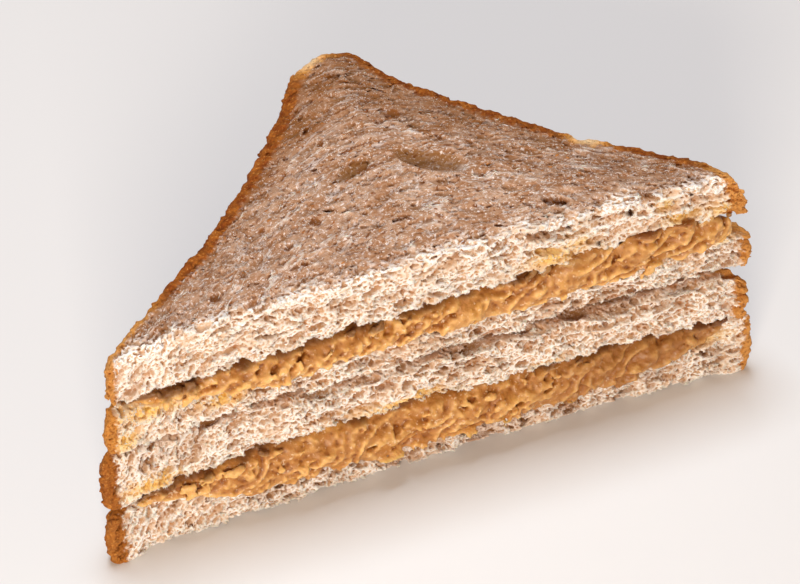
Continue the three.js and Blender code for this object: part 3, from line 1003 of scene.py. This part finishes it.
    def damp(self, points):
        """Painted shade in the gaps between layers, with moist crumb by the filling, from 0 to 1:
        most along torn edges at the cut.
        """
        x, y, z = points.T
        lift, drop = self.plan["lift"], self.plan["drop"]
        base, top = self.levels(x, y)
        waver = 0.5 * drift(x / 2.0, z / 2.0, self.plan["seed"] + 8)
        low, high = base + lift + waver, top - drop + waver + 0.2
        dark = (lift > 0) * (1 - smooth((z - low) / 0.7)) + (drop > 0) * smooth((z - high) / 0.7)
        dark = dark * smooth((y - 0.4) / 1.8) * (1 - smooth((y - 5.0) / 4.0))
        return dark * (self.plan["base"] is not TABLE)

    def face(self, points):
        """Where the crumb is a pressed face and not a torn cut, from 0 to 1."""
        x, y, seed = points[:, 0], points[:, 1], self.plan["seed"]
        wander = drift(x / 4.0, y / 3.0, seed) + 0.6 * drift(x / 1.3, y / 1.3, seed + 1)
        return smooth((y - 0.6 + 1.6 * wander) / 4.5)


class SANDWICH_OT_bread(bpy.types.Operator):
    """Makes the four half slices, with torn cuts, pores and crusts"""
    bl_idname = "sandwich.bread"
    bl_label = "Bread"

    def execute(self, context):
        settings = context.scene.sandwich_bread
        material = bread_material(settings)
        for plan in SLICES:
            bread = Slice(plan, settings)
            whole = bread.body()
            field = whole.copy()
            bread.open_cells(field)
            piece = new_piece(plan["node"] + "_slice", bread.block, field, material,
                              MOST_SLICE_TRIANGLES)
            points = points_of(piece)
            store(piece, "depth", -bread.block.at(whole, points))
            store_relief(piece, bread.block, field, points)
            for name in ("crust", "stain", "speck", "pit", "face", "baked", "toast", "damp"):
                store(piece, name, getattr(bread, name)(points))
            x, y = points[:, 0], points[:, 1]
            store(piece, "ridge", bread.ridges(x, y))
            for name, way in zip(("along", "across"), bread.grain_ways(x, y)):
                store(piece, name, way)
            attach(piece, "root")
            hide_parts(plan["node"])
        return {"FINISHED"}


class Filling(Layer):
    """One layer of creamed tuna."""

    def __init__(self, plan, settings):
        super().__init__(plan, settings, 2.5, 5.0, 1.0, 2.5, plan["start"])
        self.flake = settings.flake_length / MILLIMETRE

    def folds(self, seed):
        """Overlapping folds of paste that climb to the right, each with a lip on its upper edge."""
        x, z = self.block.x[:, :, 0], self.block.z[0]
        u, v = turned(x, z, 0.52)
        t = v / 4.0 + 1.2 * drift(u / 8.0, v / 5.0, seed) + 0.25 * drift(u / 3.2, v / 2.4, seed + 1)
        t = t - np.floor(t)
        lip = t ** 1.3 * (1 - smooth((t - 0.6) / 0.4))
        strength = (0.85 + 0.5 * drift(u / 7.0, v / 3.0, seed + 2)
                    + 0.5 * smooth((x - 20.0) / 30.0))
        return (2.1 * strength * (lip - 0.4))[:, None, :]

    def body(self):
        """The filling before it is smeared and torn."""
        b, plan, seed = self.block, self.plan, self.seed
        base, top = self.levels(b.x, b.y)
        rise = profile_at(plan["rise"], b.x) * (0.9 + 0.5 * drift(b.x / 4.0, b.x / 31.0, seed + 1))
        top = top + rise * (1 - smooth((b.y - 0.3) / 1.0))
        share = np.clip((b.z - base) / (top - base), 0.0, 1.0)
        waver = 1.2 * b.noise(9.0, seed)
        away = mix(FILLING_INSET, plan["end_inset"], smooth((-52.0 - b.x) / 12.0))
        inset = outside_crust(b.x, b.y, FILLING_RADIUS) + away + waver * away / FILLING_INSET
        inset = inset + 1.8 * (2 * share - 1) ** 2 - 0.6
        inset = np.maximum(inset, (plan["start"] - b.x - 0.8 * b.y) * 0.78 + waver)
        stand = rise / HIGHEST_RISE
        nose = 2.4 * mix(0.75, -0.6 + 1.3 * stand, smooth(share)) + 0.9 * np.sin(np.pi * share)
        nose = nose - 2.2 * (1 - stand) * smooth((share - 0.72) / 0.28)
        ends = (1 - np.abs(b.x / HALF_CUT) ** 6) * smooth((b.x - plan["start"]) / 30.0)
        front = -b.y - (nose + self.folds(seed + 5) + 0.8) * ends + 0.8
        front = front + b.roughened(0.0, PASTE_LUMPS, seed)
        hang = profile_at(plan["hang"], b.x) * (0.9 + 0.4 * drift(b.x / 5.0, b.x / 31.0, seed))
        base = base - hang * (1 - smooth((b.y - 1.5) / 2.0))
        layers = np.maximum(b.z - top - 0.1, base - b.z - 0.1)
        return rounded_corner(np.maximum(inset, front), layers, 0.8).astype("f4")

    def crease(self, points):
        """How deep each point lies in the groove under the slice above, from 0 to 1, for the painted
        shade there.
        """
        x, y, z = points.T
        rise = profile_at(self.plan["rise"], x)
        top = height(self.plan["top"], x, y) + rise
        below = top - z + 0.7 * drift(x / 3.0, z / 2.0, self.plan["seed"])
        return (1 - rise / HIGHEST_RISE) * (1 - smooth((below - 0.9) / 1.3))

    def smears(self, count, long, thick, depth):
        """Flat strokes of paste along the cut, that climb to the right."""
        draw = self.rng.uniform
        x = draw(-68, 68, count)
        share = draw(0.0, 1.0, count)
        z = mix(*self.levels(x, np.zeros(count)), share)
        y = mix(-2.2, 0.4, share) + draw(-0.5, 0.9, count)
        rows = np.column_stack((x, y, z, mix(*long, draw(0, 1, count) ** 1.5),
                                mix(*depth, draw(0, 1, count)), mix(*thick, draw(0, 1, count)),
                                draw(-0.15, 0.15, count), draw(0.3, 0.8, count)))
        return rows[x > self.plan["start"] + 3]

    def work(self, field):
        """The paste smeared and torn where it was cut, and grained all over."""
        longest = self.flake / 2.0
        for grow, *row in ((True, 10, (1.2, longest), (0.6, 1.0), (0.5, 0.9)),
                           (False, 26, (1.0, longest), (0.3, 0.6), (0.8, 1.8)),
                           (True, 32, (1.0, 2.4), (0.5, 0.9), (0.5, 1.1)),
                           (True, 60, (0.4, 0.9), (0.3, 0.5), (0.25, 0.5))):
            press(self.block, field, self.smears(*row), grow)
        return self.block.roughened(blurred(field, 1), PASTE_WAVES, self.seed)


def scatter_tree(name, shapes, material):
    """A tree that sets small shapes on a surface where its share attribute is high.

    The shapes lie along the surface's lie attribute, stand on its normal, and become one mesh.
    """
    tree = bpy.data.node_groups.new(name, "GeometryNodeTree")
    for label, kind in (("Surface", "Geometry"), ("Density", "Float"), ("Smallest", "Float"),
                        ("Largest", "Float"), ("Turn", "Float"), ("Tilt", "Float"),
                        ("Seed", "Int")):
        tree.interface.new_socket(label, in_out="INPUT", socket_type="NodeSocket" + kind)
    tree.interface.new_socket("Pieces", in_out="OUTPUT", socket_type="NodeSocketGeometry")
    given = tree.nodes.new("NodeGroupInput").outputs

    def add(kind, inputs, output=0, **settings):
        return add_node(tree, kind, inputs, **settings).outputs[output]

    share = add("GeometryNodeInputNamedAttribute", {"Name": "share"}, data_type="FLOAT")
    density = add("ShaderNodeMath", {0: share, 1: given["Density"]}, operation="MULTIPLY")
    spots = add_node(tree, "GeometryNodeDistributePointsOnFaces", {
        "Mesh": given["Surface"], "Density": density, "Seed": given["Seed"]}).outputs
    lie = add("GeometryNodeInputNamedAttribute", {"Name": "lie"}, data_type="FLOAT_VECTOR")
    upright = add("FunctionNodeAlignRotationToVector", {"Vector": spots["Normal"]}, axis="Z")
    along = add("FunctionNodeAlignRotationToVector", {"Rotation": upright, "Vector": lie},
                axis="X", pivot_axis="Z")
    most = add("ShaderNodeCombineXYZ", {
        "X": given["Tilt"], "Y": given["Tilt"], "Z": given["Turn"]})
    least = add("ShaderNodeVectorMath", {0: most, "Scale": -1.0}, operation="SCALE")
    euler = add("FunctionNodeRandomValue", {0: least, 1: most, "Seed": given["Seed"]},
                data_type="FLOAT_VECTOR")
    spin = add("FunctionNodeEulerToRotation", {0: euler})
    turned_about = add("FunctionNodeRotateRotation", {0: along, 1: spin}, rotation_space="LOCAL")
    size = add("FunctionNodeRandomValue", {
        "Min": given["Smallest"], "Max": given["Largest"], "Seed": 7}, 1, data_type="FLOAT")
    many = tree.nodes.new("GeometryNodeJoinGeometry")
    for shape in reversed(shapes):
        source = add("GeometryNodeObjectInfo", {"Object": shape, "As Instance": True}, "Geometry")
        tree.links.new(source, many.inputs[0])
    placed = add("GeometryNodeInstanceOnPoints", {
        "Points": spots["Points"], "Instance": many.outputs[0], "Pick Instance": True,
        "Rotation": turned_about, "Scale": size})
    real = add("GeometryNodeRealizeInstances", {0: placed})
    painted = add("GeometryNodeSetMaterial", {0: real, "Material": material})
    add_node(tree, "NodeGroupOutput", {0: painted})
    return tree


def area_of(piece, share):
    """Area of a mesh in square metres, weighted by a number at each point."""
    count = len(piece.data.polygons)
    areas, corners = np.empty(count, "f4"), np.empty(count * 3, "i4")
    piece.data.polygons.foreach_get("area", areas)
    piece.data.loops.foreach_get("vertex_index", corners)
    return float((areas * share[corners.reshape(-1, 3)].mean(1)).sum())


def scatter(name, base, tree, share, lie, count, sizes, turn, tilt, seed):
    """Sets about count small shapes on a piece and returns them as one mesh object."""
    work = linked_object(name, base.data.copy())
    store(work, "share", share)
    layer = work.data.attributes.new("lie", "FLOAT_VECTOR", "POINT")
    layer.data.foreach_set("vector", np.asarray(lie, "f4").ravel())
    values = {"Density": count / area_of(work, share), "Smallest": sizes[0], "Largest": sizes[1],
              "Turn": turn, "Tilt": tilt, "Seed": seed}
    nodes = work.modifiers.new("scatter", "NODES")
    nodes.node_group = tree
    for item in tree.interface.items_tree:
        if item.name in values:
            nodes[item.identifier] = values[item.name]
    take_modifiers(work)
    shade_smooth(work.data)
    return work


def loose_object(name, points, faces):
    """A mesh object that isn't in the scene yet."""
    mesh = bpy.data.meshes.new(name)
    mesh.from_pydata([tuple(point) for point in points], [], faces)
    mesh.update()
    return bpy.data.objects.new(name, mesh)


def strand_shape(name, rng):
    """A thin bent wall that tapers to both ends, one unit long."""
    rings, sides = 4, 3
    points, faces = [], []
    bend = rng.uniform(-0.12, 0.12, 2)
    for ring in range(rings):
        t = ring / (rings - 1)
        arch = math.sin(math.pi * t)
        thick = 0.05 * math.sin(math.pi * (0.12 + 0.76 * t)) * rng.uniform(0.7, 1.3)
        middle = (t - 0.5, bend[0] * arch + rng.uniform(-0.03, 0.03), bend[1] * 0.3 * arch)
        for side in range(sides):
            turn = 2 * math.pi * side / sides
            points.append((middle[0], middle[1] + thick * math.cos(turn),
                           middle[2] + 1.6 * thick * math.sin(turn)))
    for ring in range(rings - 1):
        for side in range(sides):
            a, b = ring * sides + side, ring * sides + (side + 1) % sides
            faces.append((a + sides, b + sides, b, a))
    faces.append(tuple(range(sides)))
    faces.append(tuple(reversed(range((rings - 1) * sides, rings * sides))))
    return loose_object(name, points, faces)


def tuft_shape(name, rng):
    """A tuft of five thin shards of torn crumb, about one unit tall, with 20 faces."""
    points, faces = [], []
    for start in range(0, 20, 4):
        turn, rise = rng.uniform(0, 2 * math.pi), rng.uniform(0.1, 1.3)
        way = np.array((math.cos(turn) * math.cos(rise), math.sin(turn) * math.cos(rise),
                        math.sin(rise)))
        side = np.cross(way, rng.normal(size=3))
        side /= np.linalg.norm(side)
        up = np.cross(way, side)
        thick = rng.uniform(0.1, 0.2)
        for t in (0.0, 2.1, 4.2):
            points.append(-0.15 * way + thick * (math.cos(t) * side + 0.5 * math.sin(t) * up))
        points.append(way * rng.uniform(0.35, 0.8))
        faces += [(start + a, start + b, start + c)
                  for a, b, c in ((0, 1, 3), (1, 2, 3), (2, 0, 3), (0, 2, 1))]
    return loose_object(name, points, faces)


def flake_shape(name, rng):
    """A flat six-sided flake, one unit long."""
    turns = 2 * math.pi * np.arange(6) / 6
    rim = [(0.5 * math.cos(t) * rng.uniform(0.7, 1.1), 0.2 * math.sin(t) * rng.uniform(0.6, 1.2))
           for t in turns]
    points = [(x, y, z) for z in (0.0, 0.06) for x, y in rim]
    faces = [tuple(range(5, -1, -1)), tuple(range(6, 12))]
    faces += [(n, (n + 1) % 6, (n + 1) % 6 + 6, n + 6) for n in range(6)]
    return loose_object(name, points, faces)


class SANDWICH_OT_crumb(bpy.types.Operator):
    """Sets thin walls of crumb, torn tufts and flakes of bran on the bread"""
    bl_idname = "sandwich.crumb"
    bl_label = "Torn crumb and bran"

    def execute(self, context):
        settings = context.scene.sandwich_bread
        rng = np.random.default_rng(settings.seed + 100)
        crumb = loose_material("strand", (0.84, 0.72, 0.62), (0.97, 0.93, 0.88), 400.0, 0.1,
                               Roughness=0.42, Specular_IOR_Level=0.6, Subsurface_Weight=0.2,
                               Subsurface_Scale=0.0006)
        bran = loose_material("bran", (0.5, 0.2, 0.05), (0.2, 0.06, 0.015), 500.0, 0.08,
                              Roughness=0.5, Specular_IOR_Level=0.4)
        strands = [strand_shape(f"strand_{n}", rng) for n in range(6)]
        tufts = [tuft_shape(f"tuft_{n}", rng) for n in range(4)]
        flakes = [flake_shape(f"flake_{n}", rng) for n in range(5)]
        self.lay = scatter_tree("strands on a face", strands, crumb)
        self.tear = scatter_tree("tufts on a cut", tufts + strands[:4], crumb)
        self.strew = scatter_tree("bran on the bread", flakes, bran)
        for plan in SLICES:
            self.cover(Slice(plan, settings), settings)
        return {"FINISHED"}

    def cover(self, bread, settings):
        """Covers the cut of one slice, and the top face of the top slice."""
        node, seed = bread.plan["node"], bread.plan["seed"]
        base = bpy.data.objects[node + "_slice"]
        points = points_of(base)
        x, y, z = points.T
        low, high = bread.levels(x, y)
        soft = 1 - read(base, "crust")
        out = smooth((read(base, "crag") - 0.1) / 0.5) * soft
        patches = 0.25 + smooth(0.5 + drift(x / 4.0, z / 2.2, seed + 7))
        patches = patches + 1.5 * (1 - smooth((z - low - 0.6) / 1.5))
        on_cut = np.clip(1.8 - y / 1.6, 0.0, 1.0) * (z > 0.6)
        level = np.tile((1.0, 0.0, 0.0), (len(points), 1))
        # name, tree, where, along what, how many, smallest and largest, turn and tilt
        wanted = [
            (node + "_tufts", self.tear, on_cut * out * patches, level, settings.tufts,
             (0.0004, 0.0011), 3.0, 0.5),
            (node + "_bran", self.strew, on_cut * soft, level, settings.bran // 4,
             (0.0005, 0.0013), 0.6, 0.4)]
        if bread.shown:
            turn = bread.grain(x, y)
            lie = np.column_stack((np.cos(turn), np.sin(turn), np.zeros(len(turn))))
            on_face = smooth((z - high + 0.8) / 0.3) * (y > 1.0) * soft
            paths = bread.ridges(x, y) ** 2 * (1 - 0.85 * read(base, "toast"))
            wanted += [
                ("bread_top_strands", self.lay, on_face * paths, lie, settings.strands,
                 (0.0006, 0.0017), 0.5, 0.12),
                ("bread_top_grains", self.tear, on_face * out, lie, settings.grains,
                 (0.0002, 0.0005), 1.5, 0.4),
                ("bread_top_face_bran", self.strew, on_face, lie, settings.bran,
                 (0.0006, 0.0016), 0.9, 0.4)]
        for number, (name, *rest) in enumerate(wanted):
            piece = scatter(name, base, *rest, seed + number)
            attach(piece, "root")


class SANDWICH_OT_filling(bpy.types.Operator):
    """Makes the two layers of creamed tuna, with flakes and crevices at the cut"""
    bl_idname = "sandwich.filling"
    bl_label = "Filling"

    def execute(self, context):
        settings = context.scene.sandwich_tuna
        material = tuna_material(settings)
        for plan in FILLINGS:
            filling = Filling(plan, settings)
            field = filling.work(filling.body())
            piece = new_piece(plan["node"] + "_paste", filling.block, field, material,
                              MOST_PASTE_TRIANGLES)
            points = points_of(piece)
            store_relief(piece, filling.block, field, points)
            # painted shade on the right half of the filling, for its material
            store(piece, "brown", plan["brown"] * smooth((points[:, 0] - 5.0) / 50.0))
            store(piece, "crease", filling.crease(points))
            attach(piece, "root")
            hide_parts(plan["node"])
        return {"FINISHED"}


def aim(target, azimuth, elevation, distance):
    """A placing at a distance from a target, looking at it."""
    a, e = math.radians(azimuth), math.radians(elevation)
    back = Vector((math.sin(a) * math.cos(e), -math.cos(a) * math.cos(e), math.sin(e)))
    turn = back.to_track_quat("Z", "Y").to_matrix().to_4x4()
    return Matrix.Translation(Vector(target) + back * distance) @ turn


def soft_light(name, power, azimuth, elevation, distance, size, colour):
    """A square soft box that looks at the middle of the sandwich."""
    lamp = bpy.data.lights.new(name, "AREA")
    lamp.size = size
    lamp.energy = power
    lamp.color = colour
    linked_object(name, lamp).matrix_world = aim(LIT_POINT, azimuth, elevation, distance)


class SANDWICH_OT_stage(bpy.types.Operator):
    """Makes the plain table, the soft lights and the camera"""
    bl_idname = "sandwich.stage"
    bl_label = "Stage"

    def execute(self, context):
        settings = context.scene.sandwich_stage
        corners = [(x * TABLE_REACH, y * TABLE_REACH, 0)
                   for x, y in ((-1, -1), (1, -1), (1, 1), (-1, 1))]
        table = loose_object("table", corners, [(0, 1, 2, 3)])
        table.data.materials.append(table_material(settings))
        context.collection.objects.link(table)
        soft_light("key", settings.key_power, **KEY_LIGHT)
        soft_light("fill", settings.fill_power, **FILL_LIGHT)
        world = bpy.data.worlds.new("room")
        world.use_nodes = True
        glow = world.node_tree.nodes["Background"].inputs
        glow["Color"].default_value = ROOM_COLOUR
        glow["Strength"].default_value = ROOM_STRENGTH
        context.scene.world = world
        context.scene.view_settings.view_transform = "Standard"
        lens = bpy.data.cameras.new("camera")
        lens.lens = CAMERA["lens"]
        camera = linked_object("camera", lens)
        target = (np.array(CAMERA["target"]) + CUT_MIDDLE) * MILLIMETRE
        camera.matrix_world = aim(target, CAMERA["azimuth"], CAMERA["elevation"],
                                  CAMERA["distance"] * MILLIMETRE)
        context.scene.camera = camera
        return {"FINISHED"}


class SANDWICH_PT_panel(bpy.types.Panel):
    """Lists what the sandwich is made of"""
    bl_idname = "SANDWICH_PT_panel"
    bl_label = "Sandwich"
    bl_space_type = "VIEW_3D"
    bl_region_type = "UI"
    bl_category = "Sandwich"

    def draw(self, context):
        for name, operators in (("sandwich_bread", ("sandwich.bread", "sandwich.crumb")),
                                ("sandwich_tuna", ("sandwich.filling",)),
                                ("sandwich_stage", ("sandwich.stage",))):
            box = self.layout.box()
            settings = getattr(context.scene, name)
            for key in settings.__annotations__:
                box.prop(settings, key)
            for operator in operators:
                box.operator(operator)


SETTINGS = {"sandwich_bread": BreadSettings, "sandwich_tuna": TunaSettings,
            "sandwich_stage": StageSettings}
CLASSES = (*SETTINGS.values(), SANDWICH_OT_bread, SANDWICH_OT_crumb, SANDWICH_OT_filling,
           SANDWICH_OT_stage, SANDWICH_PT_panel)


def register():
    for item in CLASSES:
        bpy.utils.register_class(item)
    for name, group in SETTINGS.items():
        setattr(bpy.types.Scene, name, bpy.props.PointerProperty(type=group))


def unregister():
    for name in SETTINGS:
        delattr(bpy.types.Scene, name)
    for item in reversed(CLASSES):
        bpy.utils.unregister_class(item)


def main():
    register()
    bpy.ops.sandwich.bread()
    bpy.ops.sandwich.crumb()
    bpy.ops.sandwich.filling()
    bpy.ops.sandwich.stage()
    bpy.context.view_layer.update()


if __name__ == "__main__":
    main()
